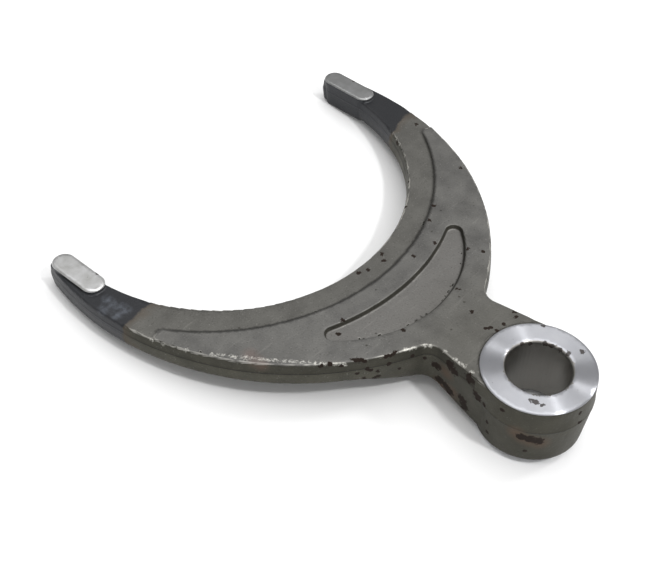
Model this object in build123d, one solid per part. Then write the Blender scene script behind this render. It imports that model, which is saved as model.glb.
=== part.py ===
# A differential lock shift fork: one drop-forged steel piece. Its boss slides on a rail,
# and its two arms reach round a sliding sleeve, with a ground pad on each tip.
# Millimetres. The origin is on the bore axis, in the plane that halves the arms' thickness.
# +Z runs up the bore, and the fork opens towards +Y.
import os
from math import acos, atan2, cos, hypot, radians, sin, sqrt, tan
from build123d import *

# The boss and its bore
bore_diameter = 20.0
bore_chamfer = 0.5
boss_diameter = 35.0
boss_height = 23.5
boss_proud = 0.5
boss_parting_drop = 8.4
boss_upper_draft = 3.0
boss_edge_break = 0.3

# The crescent, as it lies in the parting plane
fork_diameter = 125.0
crescent_depth = 42.0
tip_length = 11.9
tip_width = 6.0
tip_flat = 0.8
flank_radius = 94.9

# The neck between the boss and the crescent, and the ramp under it
neck_length = 7.5
neck_rooting = 9.0
neck_root_width = 25.4
neck_corner_radius = 5.0
ramp_lift = 2.2
ramp_angle = 18.5
ramp_blend_radius = 35.0

# Thicknesses
web_thickness = 9.0
band_drop = 0.5
draft = 5.0
edge_radius = 0.8
rim_break = 0.6

# The low band that follows the sleeve, inside the raised web
band_width = 8.4
band_spread = 4.2
web_end_angle = 61.5
web_end_radius = 2.0

# The crescent pocket in the upper side
pocket_rim = 7.5
pocket_width = 13.9
pocket_depth = 1.6
pocket_outer_radius = 43.0
pocket_end_radius = 3.0
pocket_draft = 25.0
pocket_floor_radius = 0.7
pocket_lip_radius = 0.5

# The ground pads, high on the upper side and nearly flush on the under side
pad_width = 7.8
pad_length = 21.6
pad_rise = 1.5
pad_lower_rise = 0.3
pad_inset = 1.0
pad_end_gap = 0.8
pad_edge_break = 0.4

# Places worked out from the sizes above
fork_radius = fork_diameter / 2
boss_radius = boss_diameter / 2
web_top = web_thickness / 2
band_top = web_top - band_drop
pad_top = band_top + pad_rise
pad_bottom = -web_top - pad_lower_rise
boss_top = web_top + boss_proud
boss_bottom = boss_top - boss_height
apex = boss_radius + neck_length
neck_root = apex + neck_rooting
fork_reach = apex + crescent_depth + fork_radius
tip_end = fork_reach + tip_length
tip_x = fork_radius + tip_width
tip_corner_radius = (tip_width - web_thickness * tan(radians(draft)) - tip_flat) / 2
step_radius = fork_radius + band_width + band_spread
beyond = 4 * (fork_reach + fork_radius)


def disc(radius, x, y):
    return Pos(x, y) * Circle(radius)


def crescent_outline():
    """Two discs through the apex and a tip each overlap, less the sleeve's space and all past the tips."""
    half_chord = hypot(tip_x, tip_end - apex) / 2
    slope = atan2(tip_end - apex, tip_x)
    back = sqrt(flank_radius**2 - half_chord**2)
    flank_x = back * sin(slope) - tip_x / 2
    flank_y = back * cos(slope) + (tip_end + apex) / 2
    blank = disc(flank_radius, -flank_x, flank_y) & disc(flank_radius, flank_x, flank_y)
    past_tips = Pos(0, tip_end) * Rectangle(beyond, beyond, align=(Align.CENTER, Align.MIN))
    mouth = Pos(0, fork_reach) * Rectangle(fork_diameter, beyond, align=(Align.CENTER, Align.MIN))
    return blank - past_tips - disc(fork_radius, 0, fork_reach) - mouth


def neck_outline():
    """The neck's sides leave the boss as tangents and run to the root inside the crescent."""
    root_x = neck_root_width / 2
    turn = atan2(neck_root, root_x) - acos(boss_radius / hypot(root_x, neck_root))
    leave_x = boss_radius * cos(turn)
    leave_y = boss_radius * sin(turn)
    sides = Polygon(
        (-leave_x, leave_y), (leave_x, leave_y), (root_x, neck_root), (-root_x, neck_root),
        align=None,
    )
    return sides + Circle(boss_radius)


def fork_outline():
    """The whole plan in the parting plane, with the neck's corners rounded."""
    plan = crescent_outline() + neck_outline()
    neck_corners = [v for v in plan.vertices() if boss_radius < v.Y < neck_root]
    return fillet(neck_corners, neck_corner_radius)


def low_outline():
    """All that the raised web leaves low: the band along the sleeve, and the tips."""
    angle = web_end_angle
    reach = Vector(0, -beyond)
    right = Vector(0, fork_reach) + reach.rotate(Axis.Z, angle)
    left = Vector(0, fork_reach) + reach.rotate(Axis.Z, -angle)
    tips = Polygon(
        (0, fork_reach), (right.X, right.Y), (right.X, beyond), (left.X, beyond), (left.X, left.Y),
        align=None,
    )
    low = tips + disc(step_radius, 0, fork_reach + band_spread)
    return fillet(low.vertices().sort_by_distance((0, fork_reach, 0))[:2], web_end_radius)


def drawn(plan, height, angle=draft):
    """The plan drawn up or down out of its die, narrowing by the draft."""
    return extrude(plan, amount=abs(height), dir=(0, 0, height), taper=angle)


def rounded_end(body, side, radius):
    """The edges of the body's top (side 1) or bottom (side -1) face, rounded."""
    end = body.faces().sort_by(Axis.Z)[-1 if side > 0 else 0]
    return fillet(end.edges(), radius)


def rounded_tips(body):
    """The four standing edges at the arms' ends, rounded."""
    ends = body.edges().filter_by_position(Axis.Y, tip_end - tip_corner_radius, tip_end)
    standing = [e for e in ends if e.bounding_box().size.Z > e.bounding_box().size.X]
    return fillet(standing, tip_corner_radius)


def broken_rim(body):
    """The edges where the walls meet the under side, broken."""
    walls = body.faces().filter_by(lambda f: abs(f.normal_at().Z) < 0.5)
    under = body.faces().filter_by(lambda f: f.normal_at().Z < -0.5)
    rim = ShapeList(walls.edges()) & ShapeList(under.edges())
    return chamfer(rim, rim_break)


def under_form():
    """All that the lower die leaves: a flat under side, and a cone that ramps up to the boss."""
    low = boss_bottom + ramp_lift
    reach = boss_radius + (-web_top - low) / tan(radians(ramp_angle))
    profile = Polygon(
        (0, 0), (beyond, 0), (beyond, -web_top), (reach, -web_top), (boss_radius, low), (0, low),
        align=None,
    )
    foot = [v for v in profile.vertices() if boss_radius < v.X < beyond]
    profile = fillet(foot, ramp_blend_radius)
    return revolve(Plane.XZ * profile, axis=Axis.Z)


def boss():
    """A turned outline: faced ends, and forged sides that draft both ways from the parting line."""
    parting = boss_top - boss_parting_drop
    middle = boss_radius + boss_parting_drop * tan(radians(boss_upper_draft))
    bottom = middle - (parting - boss_bottom) * tan(radians(draft))
    profile = Polygon(
        (0, boss_bottom), (bottom, boss_bottom), (middle, parting), (boss_radius, boss_top), (0, boss_top),
        align=None,
    )
    rims = [v for v in profile.vertices() if v.X > 0 and v.Y != parting]
    profile = chamfer(rims, boss_edge_break)
    return revolve(Plane.XZ * profile, axis=Axis.Z)


def bore():
    """The reamed hole with a small chamfer at each mouth."""
    radius = bore_diameter / 2
    mouth = radius + bore_chamfer
    profile = Polygon(
        (0, boss_bottom), (mouth, boss_bottom), (radius, boss_bottom + bore_chamfer),
        (radius, boss_top - bore_chamfer), (mouth, boss_top), (0, boss_top),
        align=None,
    )
    return revolve(Plane.XZ * profile, axis=Axis.Z)


def pocket():
    """The die's crescent stud: a lens between two arcs, with drafted sides and a rounded floor."""
    inner_radius = fork_radius + band_width + pocket_rim
    outer_y = fork_reach - inner_radius - pocket_width + pocket_outer_radius
    lens = disc(pocket_outer_radius, 0, outer_y) - disc(inner_radius, 0, fork_reach)
    lens = fillet(lens.vertices().group_by(Axis.Y)[-1], pocket_end_radius)
    stud = drawn(lens, -pocket_depth, pocket_draft)
    return Pos(0, 0, web_top) * rounded_end(stud, -1, pocket_floor_radius)


def with_pocket(body):
    """The pocket pressed in, and its lip rounded."""
    body -= pocket()
    lip = body.faces().sort_by(Axis.Z)[-1].inner_wires()[0]
    return fillet(lip.edges(), pocket_lip_radius)


def pad(side):
    """A ground pad right through one tip, standing in from the sleeve wall at the top."""
    x = side * (fork_radius - pad_inset + pad_width / 2)
    y = tip_end - pad_end_gap - pad_length / 2
    slot = Pos(x, y, pad_top) * SlotOverall(pad_length, pad_width, rotation=90)
    column = drawn(slot, pad_bottom - pad_top)
    return chamfer(column.faces().sort_by(Axis.Z)[-1].edges(), pad_edge_break)


def fork():
    plan = fork_outline()
    band = rounded_end(rounded_tips(drawn(plan, band_top)), 1, edge_radius)
    raised = rounded_end(drawn(plan, web_top), 1, edge_radius) - extrude(low_outline(), web_top)
    lower = broken_rim(rounded_tips(drawn(plan, boss_bottom) & under_form()))
    body = with_pocket(band + raised + lower) + boss() - bore()
    return body + pad(1) + pad(-1)


os.makedirs("parts", exist_ok=True)
lock_fork = fork()
export_step(lock_fork, "parts/lock_fork.step")
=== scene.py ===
import math
import bmesh
import bpy
import numpy as np
from mathutils import Matrix, Vector, geometry, kdtree, noise
from mathutils.bvhtree import BVHTree


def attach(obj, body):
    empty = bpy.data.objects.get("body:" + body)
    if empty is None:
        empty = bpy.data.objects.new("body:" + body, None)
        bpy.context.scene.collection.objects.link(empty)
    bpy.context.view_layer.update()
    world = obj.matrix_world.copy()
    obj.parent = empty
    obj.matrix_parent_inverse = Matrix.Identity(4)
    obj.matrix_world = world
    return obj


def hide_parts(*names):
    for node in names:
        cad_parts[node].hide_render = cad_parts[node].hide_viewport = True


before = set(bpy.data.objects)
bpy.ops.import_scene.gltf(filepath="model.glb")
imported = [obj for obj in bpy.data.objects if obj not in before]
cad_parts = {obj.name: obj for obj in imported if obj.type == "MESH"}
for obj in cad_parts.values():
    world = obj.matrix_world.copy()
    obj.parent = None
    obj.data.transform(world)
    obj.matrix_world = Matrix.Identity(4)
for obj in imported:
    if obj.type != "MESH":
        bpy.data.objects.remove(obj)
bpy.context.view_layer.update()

# The view. The photograph was taken from above and beside the left arm, about 0.36 m away,
# with the boss at the lower right. Pixels are in its 650 by 585 frame.
PHOTO_WIDTH = 650
PHOTO_HEIGHT = 585
SENSOR_MM = 36.0
LENS_MM = 63.39
CAMERA_PLACE = Vector((-0.20388, -0.09205, 0.26477))
CAMERA_AIM = Vector((-0.019605, 0.066649, 0.005))
CAMERA_ROLL = math.radians(0.994)
NEAR_CLIP = 0.01

back = (CAMERA_PLACE - CAMERA_AIM).normalized()
level = Vector((0, 0, 1)).cross(back).normalized()
rise = back.cross(level)
right = level * math.cos(CAMERA_ROLL) + rise * math.sin(CAMERA_ROLL)
up = rise * math.cos(CAMERA_ROLL) - level * math.sin(CAMERA_ROLL)
camera_data = bpy.data.cameras.new("photo_view")
camera_data.lens = LENS_MM
camera_data.sensor_width = SENSOR_MM
camera_data.clip_start = NEAR_CLIP
camera = bpy.data.objects.new("photo_view", camera_data)
turned_axes = Matrix((right, up, back)).transposed().to_4x4()
camera.matrix_world = Matrix.Translation(CAMERA_PLACE) @ turned_axes
bpy.context.scene.collection.objects.link(camera)
bpy.context.scene.camera = camera

# The forging. A steel billet was pressed between two dies, trimmed along the parting line,
# and shot blasted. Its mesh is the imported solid's, divided fine enough to carry the skin's
# unevenness: curved walls are split in place, and each flat face is filled again.
MM = 0.001
WALL_SPACING = 1.2 * MM
LINE_SPACING = 0.45 * MM
LINE_REACH = 0.5 * MM
SPLIT_PASSES = 8
FLAT_COSINE = 0.99999
FLAT_SPACING = 0.9 * MM
ROW_SPACING = FLAT_SPACING * math.sin(math.radians(60))
RIM_CLEARANCE = 0.6 * FLAT_SPACING
HEIGHT_DIGITS = 5
SAME_POINT = 0.001 * MM
SAME_PLAN_POINT = SAME_POINT / 100
PARTING_ARMS = 0.9 * MM
PARTING_BOSS = -3.4 * MM
BOSS_REACH = 19.5 * MM
BORE_REACH = 12.0 * MM

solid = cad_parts["lock_fork"]
skin = bmesh.new()
skin.from_mesh(solid.data)
bmesh.ops.remove_doubles(skin, verts=skin.verts, dist=SAME_POINT)
bmesh.ops.triangulate(skin, faces=skin.faces)
flat_faces = [f for f in skin.faces if abs(f.normal.z) > FLAT_COSINE]
faces_up = {round(f.verts[0].co.z, HEIGHT_DIGITS): f.normal.z > 0 for f in flat_faces}
bmesh.ops.delete(skin, geom=flat_faces, context="FACES")


def split_long(mesh, longest, wanted):
    """Halves the wanted edges that are too long, and joins each middle to the corners across."""
    for _ in range(SPLIT_PASSES):
        too_long = [e for e in mesh.edges if e.calc_length() > longest and wanted(e)]
        too_long.sort(key=lambda e: e.calc_length(), reverse=True)
        for edge in too_long:
            ends = set(edge.verts)
            across = [(f, next(v for v in f.verts if v not in ends)) for f in edge.link_faces]
            middle = bmesh.utils.edge_split(edge, edge.verts[0], 0.5)[1]
            for face, corner in across:
                bmesh.utils.face_split(face, middle, corner)


def off_parting(place):
    """How far a point of the outer wall lies above the line where the dies met."""
    radius = math.hypot(place.x, place.y)
    if radius < BORE_REACH:
        return BORE_REACH
    return place.z - (PARTING_BOSS if radius < BOSS_REACH else PARTING_ARMS)


def by_parting(edge):
    """Whether an edge has an end close to that line."""
    return min(abs(off_parting(v.co)) for v in edge.verts) < LINE_REACH


split_long(skin, WALL_SPACING, lambda e: True)
split_long(skin, LINE_SPACING, by_parting)


def crossings(points, starts, ends):
    """How many rim edges lie to the right of each point: odd for a point inside."""
    count = np.zeros(len(points), int)
    for start, end in zip(starts, ends):
        low, high = (start, end) if start[1] <= end[1] else (end, start)
        beside = (points[:, 1] >= low[1]) & (points[:, 1] < high[1])
        share = (points[beside, 1] - low[1]) / max(high[1] - low[1], SAME_POINT)
        count[beside] += points[beside, 0] < low[0] + share * (high[0] - low[0])
    return count


rims = {}
for edge in skin.edges:
    if len(edge.link_faces) == 1:
        rims.setdefault(round(edge.verts[0].co.z, HEIGHT_DIGITS), []).append(edge)
for height, edges in rims.items():
    corners = list(dict.fromkeys(v for e in edges for v in e.verts))
    number = {v: i for i, v in enumerate(corners)}
    rim = np.array([v.co.xy for v in corners])
    pairs = [(number[e.verts[0]], number[e.verts[1]]) for e in edges]
    starts = rim[[a for a, b in pairs]]
    ends = rim[[b for a, b in pairs]]
    low, high = rim.min(0), rim.max(0)
    columns, rows = np.meshgrid(
        np.arange(low[0], high[0], FLAT_SPACING), np.arange(low[1], high[1], ROW_SPACING)
    )
    columns[1::2] += FLAT_SPACING / 2
    grid = np.column_stack((columns.ravel(), rows.ravel()))
    grid = grid[crossings(grid, starts, ends) % 2 == 1]
    rim_tree = kdtree.KDTree(len(rim))
    for i, place in enumerate(rim):
        rim_tree.insert((place[0], place[1], 0), i)
    rim_tree.balance()
    inner = [p for p in grid if rim_tree.find((p[0], p[1], 0))[2] > RIM_CLEARANCE]
    flat = [Vector(p) for p in rim] + [Vector(p) for p in inner]
    filled = geometry.delaunay_2d_cdt(flat, pairs, [], 0, SAME_PLAN_POINT)
    places, triangles, origins = filled[0], filled[2], filled[3]
    verts = []
    for place, origin in zip(places, origins):
        if origin and origin[0] < len(corners):
            verts.append(corners[origin[0]])
        else:
            verts.append(skin.verts.new((place.x, place.y, height)))
    middles = np.array([sum((places[i] for i in t), Vector((0, 0))) / 3 for t in triangles])
    for triangle, count in zip(triangles, crossings(middles, starts, ends)):
        if count % 2:
            turn = triangle if faces_up[height] else triangle[::-1]
            skin.faces.new([verts[i] for i in turn])
skin.normal_update()
skin.verts.ensure_lookup_table()

# The cut faces stay true: the boss's two ends, the bore and the four pad faces, told from
# the skin by where they lie. The skin waves by some hundredths of a millimetre, its top edge
# is knocked about, and a thin ridge of trimmed flash stands on the parting line.
BOSS_TOP = 4.68 * MM
BOSS_BOTTOM = -18.2 * MM
BOSS_FACE = 17.7 * MM
BORE_WALL = 10.7 * MM
PAD_X = 55 * MM
PAD_Y = 117 * MM
PAD_TOP = 5.09 * MM
PAD_BOTTOM = -4.79 * MM
TRUE_REACH = 2.0 * MM
WAVES = ((14 * MM, 0.09 * MM), (5 * MM, 0.04 * MM), (2.2 * MM, 0.02 * MM))
WALL_COSINE = 0.3
RIDGE_HALF = 0.35 * MM
RIDGE_HEIGHT = 0.14 * MM
RIDGE_MEAN = 0.7
RIDGE_CHANGE = 0.6
EDGE_COSINE = 0.95
KNOCK_SIZE = 3.5 * MM
KNOCK_DEPTH = 0.35 * MM
KNOCK_START = 0.1
KNOCK_SHIFT = Vector((7, 3, 1))
KNOCK_LOW = 2.9 * MM
KNOCK_HIGH = 4.55 * MM
SLEEVE_Y = 129.5 * MM
POCKET_Y = 80.2 * MM
POCKET_INNER = 77.5 * MM
POCKET_OUTER = 44.5 * MM


def cut_kind(place):
    """Which cut face a point lies on: 1 turned, 2 reamed, 3 ground, and 0 for the skin."""
    radius = math.hypot(place.x, place.y)
    on_pad = abs(place.x) > PAD_X and place.y > PAD_Y
    if radius < BORE_WALL:
        return 2
    if radius < BOSS_FACE and (place.z > BOSS_TOP or place.z < BOSS_BOTTOM):
        return 1
    if on_pad and (place.z > PAD_TOP or place.z < PAD_BOTTOM):
        return 3
    return 0


def on_outer_edge(place):
    """Whether a point lies clear of the crescent pocket and of the step beside the sleeve."""
    from_sleeve = math.hypot(place.x, place.y - SLEEVE_Y)
    from_pocket = math.hypot(place.x, place.y - POCKET_Y)
    return from_sleeve > POCKET_INNER and from_pocket > POCKET_OUTER


true_places = [v.co for v in skin.verts if cut_kind(v.co)]
true_tree = kdtree.KDTree(len(true_places))
for i, place in enumerate(true_places):
    true_tree.insert(place, i)
true_tree.balance()
moves = []
for vert in skin.verts:
    share = min(1.0, true_tree.find(vert.co)[2] / TRUE_REACH)
    lift = sum(depth * noise.noise(vert.co / size) for size, depth in WAVES)
    at_knocks = vert.normal.z < EDGE_COSINE and KNOCK_LOW < vert.co.z < KNOCK_HIGH
    if abs(vert.normal.z) < WALL_COSINE:
        nearness = max(0.0, 1 - abs(off_parting(vert.co)) / RIDGE_HALF)
        change = RIDGE_MEAN + RIDGE_CHANGE * noise.noise(vert.co / KNOCK_SIZE)
        lift += RIDGE_HEIGHT * nearness * change
    elif at_knocks and on_outer_edge(vert.co):
        blow = noise.noise(vert.co / KNOCK_SIZE + KNOCK_SHIFT) - KNOCK_START
        lift -= KNOCK_DEPTH * max(0.0, blow)
    moves.append(vert.normal * lift * share)
for vert, move in zip(skin.verts, moves):
    vert.co += move
skin.normal_update()

# The wear. Rust, scuffs and glints are marked where the photograph shows them: a ray through
# the pixel finds the place on the skin, and the mark fades over its reach. The forging then
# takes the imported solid's place, and its edges stay crisp wherever it turns by over 32 degrees.
RUST_SPOTS = (
    (525, 451), (487, 422), (487, 432), (502, 410), (580, 413), (580, 422), (544, 326), (582, 352),
    (531, 400), (536, 402), (542, 405), (353, 360), (357, 359), (361, 360), (365, 361), (367, 369),
    (371, 370), (374, 378), (378, 376), (364, 378), (378, 371), (358, 373), (386, 357), (391, 355),
    (397, 352), (389, 364), (399, 369), (320, 366), (330, 364), (341, 366), (435, 243), (414, 256),
    (382, 254), (384, 261), (368, 270), (359, 273), (405, 207), (434, 206), (429, 220), (468, 249),
    (483, 251), (472, 312), (486, 328), (491, 328), (497, 331), (504, 324), (514, 311), (516, 317),
    (403, 330), (343, 320), (338, 334), (458, 289), (416, 124), (460, 168), (408, 182), (397, 143),
    (522, 344), (530, 344), (545, 344), (552, 346), (560, 350), (569, 354), (425, 358), (412, 356),
    (484, 404), (98, 274), (354, 81),
)
RUST_REACH = 1.25 * MM
PATCH_SPOTS = (
    (437, 366), (450, 365), (454, 372), (440, 380), (449, 391), (462, 399), (464, 406), (470, 379),
    (477, 396), (522, 437), (530, 439), (538, 441), (446, 386),
)
PATCH_REACH = 2.9 * MM
HALO_SPOTS = ((516, 433), (522, 438), (530, 441), (540, 443), (446, 372), (440, 384), (452, 392))
HALO_REACH = 4.5 * MM
SCUFF_SPOTS = ((107, 300), (113, 305), (120, 307), (126, 310), (117, 315), (104, 309))
SCUFF_REACH = 3.6 * MM
GLINT_SPOTS = (
    (212, 354), (218, 355), (223, 355), (231, 356), (236, 357), (242, 357), (246, 357), (251, 358),
    (257, 359), (262, 359), (268, 360), (274, 360), (279, 361), (285, 361), (291, 361), (296, 362),
    (303, 362), (309, 362), (315, 363), (321, 363), (327, 364), (333, 364), (340, 364), (345, 365),
    (152, 340), (163, 344), (186, 350), (405, 350), (409, 349), (415, 348), (425, 346), (430, 346),
    (445, 351), (455, 359), (460, 363), (465, 366), (472, 372),
)
GLINT_REACH = 1.7 * MM
STAIN_SPOTS = ((250, 354), (256, 360), (261, 365))
STAIN_REACH = 3.5 * MM
SHARP_ANGLE = math.radians(32)


def sight(pixel):
    """The direction from the camera through a pixel of the photograph."""
    focal = LENS_MM / SENSOR_MM * PHOTO_WIDTH
    across = (pixel[0] - PHOTO_WIDTH / 2) / focal
    down = (pixel[1] - PHOTO_HEIGHT / 2) / focal
    return (right * across - up * down - back).normalized()


def marked(layer_name, pixels, reach):
    """Writes a mark, 1 at the places seen through the pixels and 0 past the reach."""
    layer = skin.verts.layers.float.new(layer_name)
    for pixel in pixels:
        place = surface.ray_cast(CAMERA_PLACE, sight(pixel))[0]
        if place is None:
            continue
        for _, index, distance in vert_tree.find_range(place, reach):
            vert = skin.verts[index]
            vert[layer] = max(vert[layer], 1 - distance / reach)


surface = BVHTree.FromBMesh(skin)
vert_tree = kdtree.KDTree(len(skin.verts))
for i, vert in enumerate(skin.verts):
    vert_tree.insert(vert.co, i)
vert_tree.balance()
marked("rust", RUST_SPOTS, RUST_REACH)
marked("patch", PATCH_SPOTS, PATCH_REACH)
marked("halo", HALO_SPOTS, HALO_REACH)
marked("scuff", SCUFF_SPOTS, SCUFF_REACH)
marked("glint", GLINT_SPOTS, GLINT_REACH)
marked("stain", STAIN_SPOTS, STAIN_REACH)

mesh = bpy.data.meshes.new("forged_fork")
skin.to_mesh(mesh)
fork = bpy.data.objects.new("forged_fork", mesh)
bpy.context.scene.collection.objects.link(fork)
mesh.shade_smooth()
mesh.set_sharp_from_angle(angle=SHARP_ANGLE)
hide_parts("lock_fork")
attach(fork, "root")


def add(tree, kind, links, out=0, **settings):
    """Adds one node: its settings, a value or a socket on each input, and the output wanted."""
    node = tree.nodes.new("ShaderNode" + kind)
    for key, value in settings.items():
        setattr(node, key, value)
    for key, value in links.items():
        if isinstance(value, bpy.types.NodeSocket):
            tree.links.new(value, node.inputs[key])
        else:
            node.inputs[key].default_value = value
    return node.outputs[out]


def linear(code):
    """An sRGB hex colour as linear red, green, blue and a full alpha."""
    parts = [int(code[i:i + 2], 16) / 255 for i in (1, 3, 5)]
    return [p / 12.92 if p <= 0.04045 else ((p + 0.055) / 1.055) ** 2.4 for p in parts] + [1.0]


def new_material(name):
    """A node material, with its tree and its shader."""
    material = bpy.data.materials.new(name)
    material.use_nodes = True
    return material, material.node_tree, material.node_tree.nodes["Principled BSDF"]


def feed(tree, shader, **sockets):
    """Joins sockets to the shader's inputs, named with underscores for spaces."""
    for key, value in sockets.items():
        tree.links.new(value, shader.inputs[key.replace("_", " ")])


# Shot-blasted forging skin: even mid grey with a fine peened grain and broad soft mottling.
# Its upright walls are painted darker and faintly green, as painted shade on faces that turn
# sideways. Each fade below says where a mark starts (1), where it is full (2) and how strong it
# is then (4), and MIX is what a node that mixes colours needs.
SKIN_DARK = linear("#5b5a58")
SKIN_LIGHT = linear("#6f6e6b")
WALL_SHADE_DARK = linear("#414038")
WALL_SHADE_GREEN = linear("#4e4c42")
PEEN_BRIGHT = linear("#9c9b97")
PIT_DARK = linear("#33312c")
POCKET_LIGHT = linear("#7a7876")
MOTTLE_SIZE = 7.0 * MM
WALL_NOISE_SIZE = 4.762 * MM
GRAIN_SIZE = 0.55 * MM
PIT_SPACING = 7.0 * MM
STEEP = {1: 0.75, 2: 0.35}
EVEN = {1: 0.3, 2: 0.7}
LOW_BAND = {1: 4.4 * MM, 2: 4.1 * MM, 4: 0.25}
UPPER_SIDE = {1: 1 * MM, 2: 2 * MM}
POCKET_FLOOR = {1: 4.0 * MM, 2: 2.9 * MM, 4: 0.5}
PEEN = {1: 0.64, 2: 0.85, 4: 0.6}
DIM = {1: 0.4, 2: 0.2, 4: 0.6}
PIT = {1: 0.07, 2: 0.04, 4: 0.7}
MIX = {"out": 2, "data_type": "RGBA"}
forged, tree, shader = new_material("shot_blasted_forged_steel")
place = add(tree, "TexCoord", {}, out="Object")
x, y, z = add(tree, "SeparateXYZ", {0: place}).node.outputs
normal = add(tree, "TexCoord", {}, out="Normal")
flatness = add(tree, "SeparateXYZ", {0: normal}, out=2)
flatness = add(tree, "Math", {0: flatness}, operation="ABSOLUTE")
steep = add(tree, "MapRange", {0: flatness} | STEEP)
mottle = add(tree, "TexNoise", {"Vector": place, "Scale": 1 / MOTTLE_SIZE, "Detail": 4.0})
mottle = add(tree, "MapRange", {0: mottle} | EVEN)
colour = add(tree, "Mix", {0: mottle, 6: SKIN_DARK, 7: SKIN_LIGHT}, **MIX)
# Below the top level the skin is a little darker, a quarter of the way to the walls' colour.
band = add(tree, "MapRange", {0: z} | LOW_BAND)
colour = add(tree, "Mix", {0: band, 6: colour, 7: WALL_SHADE_GREEN}, **MIX)
upper_side = add(tree, "MapRange", {0: z} | UPPER_SIDE)
pocket_floor = add(tree, "MapRange", {0: z} | POCKET_FLOOR)
pocket_floor = add(tree, "Math", {0: pocket_floor, 1: upper_side}, operation="MULTIPLY")
colour = add(tree, "Mix", {0: pocket_floor, 6: colour, 7: POCKET_LIGHT}, **MIX)
wall_noise = add(tree, "TexNoise", {"Vector": place, "Scale": 1 / WALL_NOISE_SIZE, "Detail": 5.0})
wall_noise = add(tree, "MapRange", {0: wall_noise} | EVEN)
# The walls' colour is painted shade, mixed in by how steeply the surface faces.
wall_shade = add(tree, "Mix", {0: wall_noise, 6: WALL_SHADE_DARK, 7: WALL_SHADE_GREEN}, **MIX)
colour = add(tree, "Mix", {0: steep, 6: colour, 7: wall_shade}, **MIX)
grain = add(tree, "TexNoise", {"Vector": place, "Scale": 1 / GRAIN_SIZE, "Detail": 2.0})
bright = add(tree, "MapRange", {0: grain} | PEEN)
colour = add(tree, "Mix", {0: bright, 6: colour, 7: PEEN_BRIGHT}, **MIX)
dim = add(tree, "MapRange", {0: grain} | DIM)
colour = add(tree, "Mix", {0: dim, 6: colour, 7: PIT_DARK}, **MIX)
cells = add(tree, "TexVoronoi", {"Vector": place, "Scale": 1 / PIT_SPACING})
pit = add(tree, "MapRange", {0: cells} | PIT)
colour = add(tree, "Mix", {0: pit, 6: colour, 7: PIT_DARK}, **MIX)

# The rounded outer edges are painted bright, less on the pocket's lip and not on the low step:
# partly wear from handling, partly painted highlight. Handling dragged faint scratches over the
# flats. Near the boss it is a little darker.
RUB_AND_HIGHLIGHT_GREY = linear("#adaba5")
STEP_CENTRE = (0.0, 133.7 * MM, 0.0)
STEP_RADIUS = 75.1 * MM
CLEAR_OF_STEP = {1: 1.2 * MM, 2: 2.0 * MM}
TURNING = {1: 0.985, 2: 0.9}
LIP_SHARE = 0.4
RUB_AND_HIGHLIGHT_FADE = {1: 0.2, 2: 0.6, 4: 0.75}
DRAG_TURN = (0.0, 0.0, 0.6)
DRAG_SIZE = (11.11 * MM, 1.111 * MM, 3.333 * MM)
DRAG = {1: 0.64, 2: 0.8, 4: 0.16}
NEAR_BOSS_DARKENING = {1: 50 * MM, 2: 25 * MM, 4: 0.35}
in_plan = add(tree, "CombineXYZ", {0: x, 1: y})
radius = add(tree, "VectorMath", {0: in_plan}, out=1, operation="LENGTH")
from_step = add(tree, "VectorMath", {0: in_plan, 1: STEP_CENTRE}, out=1, operation="DISTANCE")
from_step = add(tree, "Math", {0: from_step, 1: STEP_RADIUS}, operation="SUBTRACT")
from_step = add(tree, "Math", {0: from_step}, operation="ABSOLUTE")
clear_of_step = add(tree, "MapRange", {0: from_step} | CLEAR_OF_STEP)
centre = (0.0, SLEEVE_Y, 0.0)
from_sleeve = add(tree, "VectorMath", {0: in_plan, 1: centre}, out=1, operation="DISTANCE")
centre = (0.0, POCKET_Y, 0.0)
from_pocket = add(tree, "VectorMath", {0: in_plan, 1: centre}, out=1, operation="DISTANCE")
in_pocket = add(tree, "Math", {0: from_pocket, 1: POCKET_OUTER}, operation="LESS_THAN")
past_inner = add(tree, "Math", {0: from_sleeve, 1: POCKET_INNER}, operation="GREATER_THAN")
in_pocket = add(tree, "Math", {0: in_pocket, 1: past_inner}, operation="MULTIPLY")
in_pocket = add(tree, "Math", {0: in_pocket, 1: upper_side}, operation="MULTIPLY")
# The fillets, picked by how their surface turns, take a bright colour: part wear, part painted
# highlight.
turning = add(tree, "MapRange", {0: flatness} | TURNING)
rub_and_highlight = add(tree, "Mix", {0: steep, 2: turning, 3: 0.0})
rub_and_highlight = add(tree, "Math", {0: rub_and_highlight, 1: wall_noise}, operation="MULTIPLY")
rub_and_highlight = add(tree, "Math", {0: rub_and_highlight, 1: clear_of_step}, operation="MULTIPLY")
lip_rub_and_highlight = add(tree, "Math", {0: rub_and_highlight, 1: LIP_SHARE}, operation="MULTIPLY")
rub_and_highlight = add(tree, "Mix", {0: in_pocket, 2: rub_and_highlight, 3: lip_rub_and_highlight})
rub_and_highlight = add(tree, "MapRange", {0: rub_and_highlight} | RUB_AND_HIGHLIGHT_FADE)
colour = add(tree, "Mix", {0: rub_and_highlight, 6: colour, 7: RUB_AND_HIGHLIGHT_GREY}, **MIX)
stretch = [1 / size for size in DRAG_SIZE]
drag = add(tree, "Mapping", {"Vector": place, "Rotation": DRAG_TURN, "Scale": stretch})
drag = add(tree, "TexNoise", {"Vector": drag, "Scale": 1.0, "Detail": 3.0})
drag = add(tree, "MapRange", {0: drag} | DRAG)
drag = add(tree, "Mix", {0: steep, 2: drag, 3: 0.0})
colour = add(tree, "Mix", {0: drag, 6: colour, 7: RUB_AND_HIGHLIGHT_GREY}, **MIX)
# Darker towards the boss.
near_boss_darkening = add(tree, "VectorMath", {0: place}, out=1, operation="LENGTH")
near_boss_darkening = add(tree, "MapRange", {0: near_boss_darkening} | NEAR_BOSS_DARKENING)
colour = add(tree, "Mix", {0: near_boss_darkening, 6: colour, 7: WALL_SHADE_GREEN}, **MIX)
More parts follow.
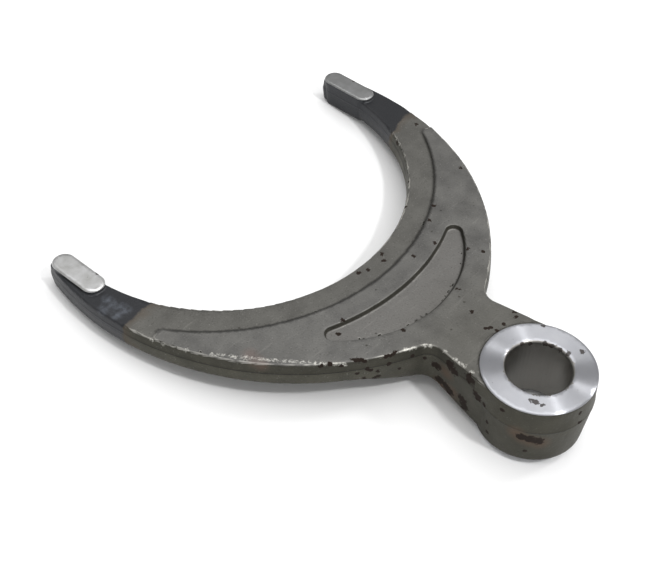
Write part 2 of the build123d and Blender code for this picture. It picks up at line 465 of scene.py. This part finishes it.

# Painted shade lies along the step and on the pocket's outer wall, and a dark ring in the corner
# under the boss's face is partly the skin's dark edge and partly painted shade. The trimmed flash
# shows as a thin dark line, and the walls above it and by the neck are darker with painted shade.
LINE_DARK = linear("#1f1e1a")
STEP_SHADE = {1: 1.0 * MM, 2: 0.2 * MM, 4: 0.6}
SHORT_OF_TIPS = {1: 95 * MM, 2: 90 * MM}
POCKET_WALL = 42.6 * MM
POCKET_WALL_SHADE = {1: 0.8 * MM, 2: 0.2 * MM, 4: 0.5}
SUNK = {1: 4.35 * MM, 2: 4.1 * MM}
NECK_SHADE = {1: 42 * MM, 2: 22 * MM, 4: 0.3}
LINE_ARMS = PARTING_ARMS - RIDGE_HALF / 2
LINE_BOSS = PARTING_BOSS - RIDGE_HALF / 2
SHADE_ABOVE_LINE = {1: 0.0, 2: 0.1 * MM, 4: 0.3}
LINE_HALF = 0.26 * MM
FLASH_LINE = {1: LINE_HALF, 2: LINE_HALF / 2}
BOSS_CORNER = {1: BOSS_FACE + 0.5 * MM, 2: BOSS_FACE, 4: 0.7}
CORNER_FLOOR = 4.2 * MM
WEB_SIDE = {1: 4 * MM, 2: 9 * MM}
# Painted shade on the flats beside the step.
crease_shade = add(tree, "MapRange", {0: from_step} | STEP_SHADE)
short_of_tips = add(tree, "MapRange", {0: y} | SHORT_OF_TIPS)
crease_shade = add(tree, "Math", {0: crease_shade, 1: short_of_tips}, operation="MULTIPLY")
crease_shade = add(tree, "Math", {0: crease_shade, 1: upper_side}, operation="MULTIPLY")
crease_shade = add(tree, "Mix", {0: steep, 2: crease_shade, 3: 0.0})
# Painted shade on the pocket's outer wall.
pocket_wall_shade = add(tree, "Math", {0: from_pocket, 1: POCKET_WALL}, operation="SUBTRACT")
pocket_wall_shade = add(tree, "Math", {0: pocket_wall_shade}, operation="ABSOLUTE")
pocket_wall_shade = add(tree, "MapRange", {0: pocket_wall_shade} | POCKET_WALL_SHADE)
pocket_wall_shade = add(tree, "Math", {0: pocket_wall_shade, 1: in_pocket}, operation="MULTIPLY")
sunk = add(tree, "MapRange", {0: z} | SUNK)
pocket_wall_shade = add(tree, "Math", {0: pocket_wall_shade, 1: sunk}, operation="MULTIPLY")
crease_shade = add(tree, "Math", {0: crease_shade, 1: pocket_wall_shade}, operation="MAXIMUM")
colour = add(tree, "Mix", {0: crease_shade, 6: colour, 7: LINE_DARK}, **MIX)
shaded = add(tree, "MapRange", {0: radius} | NECK_SHADE)
shaded = add(tree, "Math", {0: shaded, 1: steep}, operation="MULTIPLY")
colour = add(tree, "Mix", {0: shaded, 6: colour, 7: LINE_DARK}, **MIX)
on_boss = add(tree, "Math", {0: radius, 1: BOSS_REACH}, operation="LESS_THAN")
line = add(tree, "MapRange", {0: on_boss, 3: LINE_ARMS, 4: LINE_BOSS})
line = add(tree, "Math", {0: z, 1: line}, operation="SUBTRACT")
# Painted shade: the walls above the flash line are darker.
shade_above_line = add(tree, "MapRange", {0: line} | SHADE_ABOVE_LINE)
shade_above_line = add(tree, "Math", {0: shade_above_line, 1: steep}, operation="MULTIPLY")
shade_above_line = add(tree, "Mix", {0: on_boss, 2: shade_above_line, 3: 0.0})
colour = add(tree, "Mix", {0: shade_above_line, 6: colour, 7: LINE_DARK}, **MIX)
line = add(tree, "Math", {0: line}, operation="ABSOLUTE")
line = add(tree, "MapRange", {0: line} | FLASH_LINE)
line = add(tree, "Math", {0: line, 1: steep}, operation="MULTIPLY")
colour = add(tree, "Mix", {0: line, 6: colour, 7: LINE_DARK}, **MIX)
# A dark ring under the boss's face: partly the skin's dark edge, partly painted shade in the
# corner.
corner = add(tree, "MapRange", {0: radius} | BOSS_CORNER)
above = add(tree, "Math", {0: z, 1: CORNER_FLOOR}, operation="GREATER_THAN")
corner = add(tree, "Math", {0: corner, 1: above}, operation="MULTIPLY")
web_side = add(tree, "MapRange", {0: y} | WEB_SIDE)
corner = add(tree, "Math", {0: corner, 1: web_side}, operation="MULTIPLY")
colour = add(tree, "Mix", {0: corner, 6: colour, 7: LINE_DARK}, **MIX)

# Both tips were induction hardened and quenched in oil: a blue-black film that ends in an
# uneven front, with a brown temper tint at its edge and pale rubs where it was handled.
HARD_BLACK = linear("#303236")
TEMPER_BROWN = linear("#57493b")
SCUFF_PALE = linear("#7c828c")
FRONT_Y = 102.5 * MM
FRONT_WANDER = 9 * MM
WANDER_SIZE = 6.25 * MM
TINT = {1: FRONT_Y - 3.0 * MM, 2: FRONT_Y, 4: 0.4}
BLACK = {1: FRONT_Y, 2: FRONT_Y + 1.2 * MM, 4: 0.92}
STREAK_SIZE = 1.429 * MM
SCUFF = {1: 0.15, 2: 0.6, 4: 0.4}
wander = add(tree, "TexNoise", {"Vector": place, "Scale": 1 / WANDER_SIZE, "Detail": 3.0})
wander = add(tree, "MapRange", {0: wander, 3: -FRONT_WANDER / 2, 4: FRONT_WANDER / 2})
past = add(tree, "Math", {0: y, 1: wander}, operation="ADD")
tint = add(tree, "MapRange", {0: past} | TINT)
colour = add(tree, "Mix", {0: tint, 6: colour, 7: TEMPER_BROWN}, **MIX)
black = add(tree, "MapRange", {0: past} | BLACK)
colour = add(tree, "Mix", {0: black, 6: colour, 7: HARD_BLACK}, **MIX)
streak = add(tree, "TexNoise", {"Vector": place, "Scale": 1 / STREAK_SIZE, "Detail": 3.0})
scuff = add(tree, "Attribute", {}, out="Fac", attribute_name="scuff")
scuff = add(tree, "Math", {0: scuff, 1: streak}, operation="MULTIPLY")
scuff = add(tree, "MapRange", {0: scuff} | SCUFF)
colour = add(tree, "Mix", {0: scuff, 6: colour, 7: SCUFF_PALE}, **MIX)

# Burrs and knocks on the front edge show clean metal, with painted highlights (glints) on them,
# one drop left a reddish stain, and rust grows in specks with a thin orange halo in the wettest
# places. The peened grain and the pits stand in low relief, the oil-quenched tips are smoother,
# and rust is dull.
BURR_AND_GLINT_WHITE = linear("#e6e4dc")
STAIN_RED = linear("#8a6a60")
HALO_RUST = linear("#5c4636")
RUST_BROWN = linear("#20150d")
GLINT = {1: 0.25, 2: 0.6, 4: 0.9}
STAIN = {1: 0.1, 2: 0.7, 4: 0.18}
HALO = {1: 0.1, 2: 0.8, 4: 0.5}
SPECK_SIZE = 1.111 * MM
SPECK_ROUGHNESS = 0.6
SPECK_WEIGHT = 1.4
RUST = {1: 1.05, 2: 1.15}
SKIN_METAL = 0.75
RUST_METAL = 0.3
SKIN_ROUGHNESS = (0.5, 0.6)
TIP_ROUGHNESS = 0.42
RUST_ROUGHNESS = 0.95
GRAIN_RELIEF = {"Distance": 0.09 * MM, "Strength": 0.9}
PIT_RELIEF = {"Distance": 0.06 * MM, "Strength": 0.8}
# The glints: near-white specks along the front edge, partly burred metal, partly painted
# highlight.
burr_and_glint = add(tree, "Attribute", {}, out="Fac", attribute_name="glint")
burr_and_glint = add(tree, "Math", {0: burr_and_glint, 1: grain}, operation="MULTIPLY")
burr_and_glint = add(tree, "MapRange", {0: burr_and_glint} | GLINT)
colour = add(tree, "Mix", {0: burr_and_glint, 6: colour, 7: BURR_AND_GLINT_WHITE}, **MIX)
stain = add(tree, "Attribute", {}, out="Fac", attribute_name="stain")
stain = add(tree, "MapRange", {0: stain} | STAIN)
colour = add(tree, "Mix", {0: stain, 6: colour, 7: STAIN_RED}, **MIX)
halo = add(tree, "Attribute", {}, out="Fac", attribute_name="halo")
halo = add(tree, "MapRange", {0: halo} | HALO)
colour = add(tree, "Mix", {0: halo, 6: colour, 7: HALO_RUST}, **MIX)
spot = add(tree, "Attribute", {}, out="Fac", attribute_name="rust")
patch = add(tree, "Attribute", {}, out="Fac", attribute_name="patch")
spot = add(tree, "Math", {0: spot, 1: patch}, operation="MAXIMUM")
pattern = {"Vector": place, "Scale": 1 / SPECK_SIZE, "Detail": 3.0}
speck = add(tree, "TexNoise", pattern | {"Roughness": SPECK_ROUGHNESS})
rust = add(tree, "Math", {0: speck, 1: SPECK_WEIGHT, 2: spot}, operation="MULTIPLY_ADD")
rust = add(tree, "MapRange", {0: rust} | RUST)
colour = add(tree, "Mix", {0: rust, 6: colour, 7: RUST_BROWN}, **MIX)
metal = add(tree, "MapRange", {0: rust, 3: SKIN_METAL, 4: RUST_METAL})
rough = add(tree, "MapRange", {0: mottle, 3: SKIN_ROUGHNESS[0], 4: SKIN_ROUGHNESS[1]})
rough = add(tree, "MapRange", {0: black, 3: rough, 4: TIP_ROUGHNESS})
rough = add(tree, "MapRange", {0: rust, 3: rough, 4: RUST_ROUGHNESS})
relief = add(tree, "Bump", {"Height": grain} | GRAIN_RELIEF)
relief = add(tree, "Bump", {"Height": pit, "Normal": relief} | PIT_RELIEF, invert=True)
feed(tree, shader, Base_Color=colour, Metallic=metal, Roughness=rough, Normal=relief)

# The boss's ends were faced on a lathe: bright, faintly blue steel whose fine turning rings
# spread each light into a streak that runs out from the bore. A real feed of 0.1 mm is too
# fine to show, so the rings are drawn at 0.35 mm.
FACE_STEEL = linear("#b1b2b6")
FACE_SHADE = linear("#a9aaaf")
FEED = 0.35 * MM
RINGS_PER_SCALE = 20
RING_WANDER = 0.3
RING_RELIEF = {"Distance": 0.01 * MM, "Strength": 0.6}
FACE_CLOUD_SIZE = 3.846 * MM
FACE_CLOUD = {1: 0.25, 2: 0.75}
FACE_ROUGHNESS = 0.3
FACE_ANISOTROPY = 0.98
CUT_RUST = {1: 1.02, 2: 1.12, 4: 0.9}
CUT_RUST_METAL = 0.1


def rusted(tree, place, colour):
    """The colour and the metalness of a cut face, with the same rust spots as the skin."""
    spot = add(tree, "Attribute", {}, out="Fac", attribute_name="rust")
    speck = add(tree, "TexNoise", {"Vector": place, "Scale": 1 / SPECK_SIZE, "Detail": 3.0})
    rust = add(tree, "Math", {0: speck, 1: SPECK_WEIGHT, 2: spot}, operation="MULTIPLY_ADD")
    rust = add(tree, "MapRange", {0: rust} | CUT_RUST)
    colour = add(tree, "Mix", {0: rust, 6: colour, 7: RUST_BROWN}, **MIX)
    return colour, add(tree, "MapRange", {0: rust, 3: 1.0, 4: CUT_RUST_METAL})


turned, tree, shader = new_material("lathe_faced_steel")
place = add(tree, "TexCoord", {}, out="Object")
rings = {"Vector": place, "Scale": math.tau / RINGS_PER_SCALE / FEED, "Distortion": RING_WANDER}
ring = add(tree, "TexWave", rings, out=1, wave_type="RINGS", rings_direction="Z")
cloud = add(tree, "TexNoise", {"Vector": place, "Scale": 1 / FACE_CLOUD_SIZE, "Detail": 4.0})
cloud = add(tree, "MapRange", {0: cloud} | FACE_CLOUD)
colour = add(tree, "Mix", {0: cloud, 6: FACE_SHADE, 7: FACE_STEEL}, **MIX)
colour, metal = rusted(tree, place, colour)
relief = add(tree, "Bump", {"Height": ring} | RING_RELIEF)
shader.inputs["Roughness"].default_value = FACE_ROUGHNESS
shader.inputs["Anisotropic"].default_value = FACE_ANISOTROPY
feed(tree, shader, Base_Color=colour, Metallic=metal, Normal=relief, Tangent=place)

# The bore was reamed: smooth and a little darker, with faint marks that run round it. The
# cutter's real marks of some hundredths of a millimetre are too fine, so they are 0.4 mm.
REAMED_STEEL = linear("#8f8d89")
REAMING_SIZE = (16.67 * MM, 16.67 * MM, 0.4 * MM)
REAMING_RELIEF = {"Distance": 0.015 * MM, "Strength": 0.6}
REAMED_ROUGHNESS = 0.38
reamed, tree, shader = new_material("reamed_steel")
place = add(tree, "TexCoord", {}, out="Object")
stretch = [1 / size for size in REAMING_SIZE]
marks = add(tree, "Mapping", {"Vector": place, "Scale": stretch})
marks = add(tree, "TexNoise", {"Vector": marks, "Scale": 1.0, "Detail": 3.0})
relief = add(tree, "Bump", {"Height": marks} | REAMING_RELIEF)
colour, metal = rusted(tree, place, REAMED_STEEL)
shader.inputs["Roughness"].default_value = REAMED_ROUGHNESS
feed(tree, shader, Base_Color=colour, Metallic=metal, Normal=relief)

# The pads were ground after hardening: pale satin steel, scratched along the arm, with the
# scratches drawn at 0.33 mm to show at all. The far arm's pad is painted darker, as painted shade.
GROUND_STEEL = linear("#c9c9c9")
GROUND_SHADE = linear("#b3b3b1")
FAR_PAD_SHADE = linear("#6e6f70")
GRINDING_SIZE = (0.3333 * MM, 5 * MM, 5 * MM)
GRINDING_RELIEF = {"Distance": 0.01 * MM, "Strength": 0.5}
PAD_CLOUD_SIZE = 3.333 * MM
PAD_CLOUD = {1: 0.35, 2: 0.65}
FAR_ARM = {1: -10 * MM, 2: 10 * MM, 4: 0.6}
GROUND_ROUGHNESS = 0.42
ground, tree, shader = new_material("ground_steel")
place = add(tree, "TexCoord", {}, out="Object")
stretch = [1 / size for size in GRINDING_SIZE]
marks = add(tree, "Mapping", {"Vector": place, "Scale": stretch})
marks = add(tree, "TexNoise", {"Vector": marks, "Scale": 1.0, "Detail": 3.0})
cloud = add(tree, "TexNoise", {"Vector": place, "Scale": 1 / PAD_CLOUD_SIZE, "Detail": 3.0})
cloud = add(tree, "MapRange", {0: cloud} | PAD_CLOUD)
colour = add(tree, "Mix", {0: cloud, 6: GROUND_SHADE, 7: GROUND_STEEL}, **MIX)
# Painted shade: the far arm's pad is darker.
far_pad_shade = add(tree, "MapRange", {0: add(tree, "SeparateXYZ", {0: place})} | FAR_ARM)
colour = add(tree, "Mix", {0: far_pad_shade, 6: colour, 7: FAR_PAD_SHADE}, **MIX)
colour, metal = rusted(tree, place, colour)
relief = add(tree, "Bump", {"Height": marks} | GRINDING_RELIEF)
shader.inputs["Roughness"].default_value = GROUND_ROUGHNESS
feed(tree, shader, Base_Color=colour, Metallic=metal, Normal=relief)

for material in (forged, turned, reamed, ground):
    mesh.materials.append(material)
for face in mesh.polygons:
    face.material_index = cut_kind(face.center)

# The ground it lies on, a plain pale floor. The fork rests on the boss's lower end and on
# both tips, so the floor leans by a few degrees in the fork's own frame.
FLOOR_HALF = 3.0
REST_TILT = math.radians(6.27)
REST_EDGE = Vector((0, 16.3, -18.5)) * MM
PAPER_WHITE = linear("#f6f6f6")
PAPER_ROUGHNESS = 0.9
floor_mesh = bpy.data.meshes.new("floor")
ends = (-FLOOR_HALF, FLOOR_HALF)
corners = [(x, y, 0) for x in ends for y in ends]
floor_mesh.from_pydata(corners, [], [(0, 2, 3, 1)])
floor = bpy.data.objects.new("floor", floor_mesh)
floor.matrix_world = Matrix.Translation(REST_EDGE) @ Matrix.Rotation(REST_TILT, 4, "X")
bpy.context.scene.collection.objects.link(floor)
paper, tree, shader = new_material("white_paper")
shader.inputs["Base Color"].default_value = PAPER_WHITE
shader.inputs["Roughness"].default_value = PAPER_ROUGHNESS
floor_mesh.materials.append(paper)

# Soft studio light: a pale room, a large softbox overhead, and two smaller ones at the
# boss's end, in front and to the right, that give its turned face the streaks. Each lamp
# has its place, its width in metres and its power in watts, and points at the boss.
ROOM_WHITE = linear("#ffffff")
ROOM_LIGHT = 0.5
OVERHEAD = (Vector((0.1, 0.1, 1.2)), 1.3, 10.5)
KEY = (Vector((0.02, -0.55, 0.83)), 0.08, 3.3)
FILL = (Vector((0.67, -0.3, 0.65)), 0.14, 1.6)
world = bpy.data.worlds.new("studio")
world.use_nodes = True
world.node_tree.nodes["Background"].inputs["Strength"].default_value = ROOM_LIGHT
world.node_tree.nodes["Background"].inputs["Color"].default_value = ROOM_WHITE
bpy.context.scene.world = world
for name, (place, size, power) in (("overhead", OVERHEAD), ("key", KEY), ("fill", FILL)):
    data = bpy.data.lights.new(name, "AREA")
    data.size = size
    data.energy = power
    lamp = bpy.data.objects.new(name, data)
    lamp.location = place
    lamp.rotation_euler = (-place).to_track_quat("-Z", "Y").to_euler()
    bpy.context.scene.collection.objects.link(lamp)
bpy.context.scene.view_settings.view_transform = "Standard"
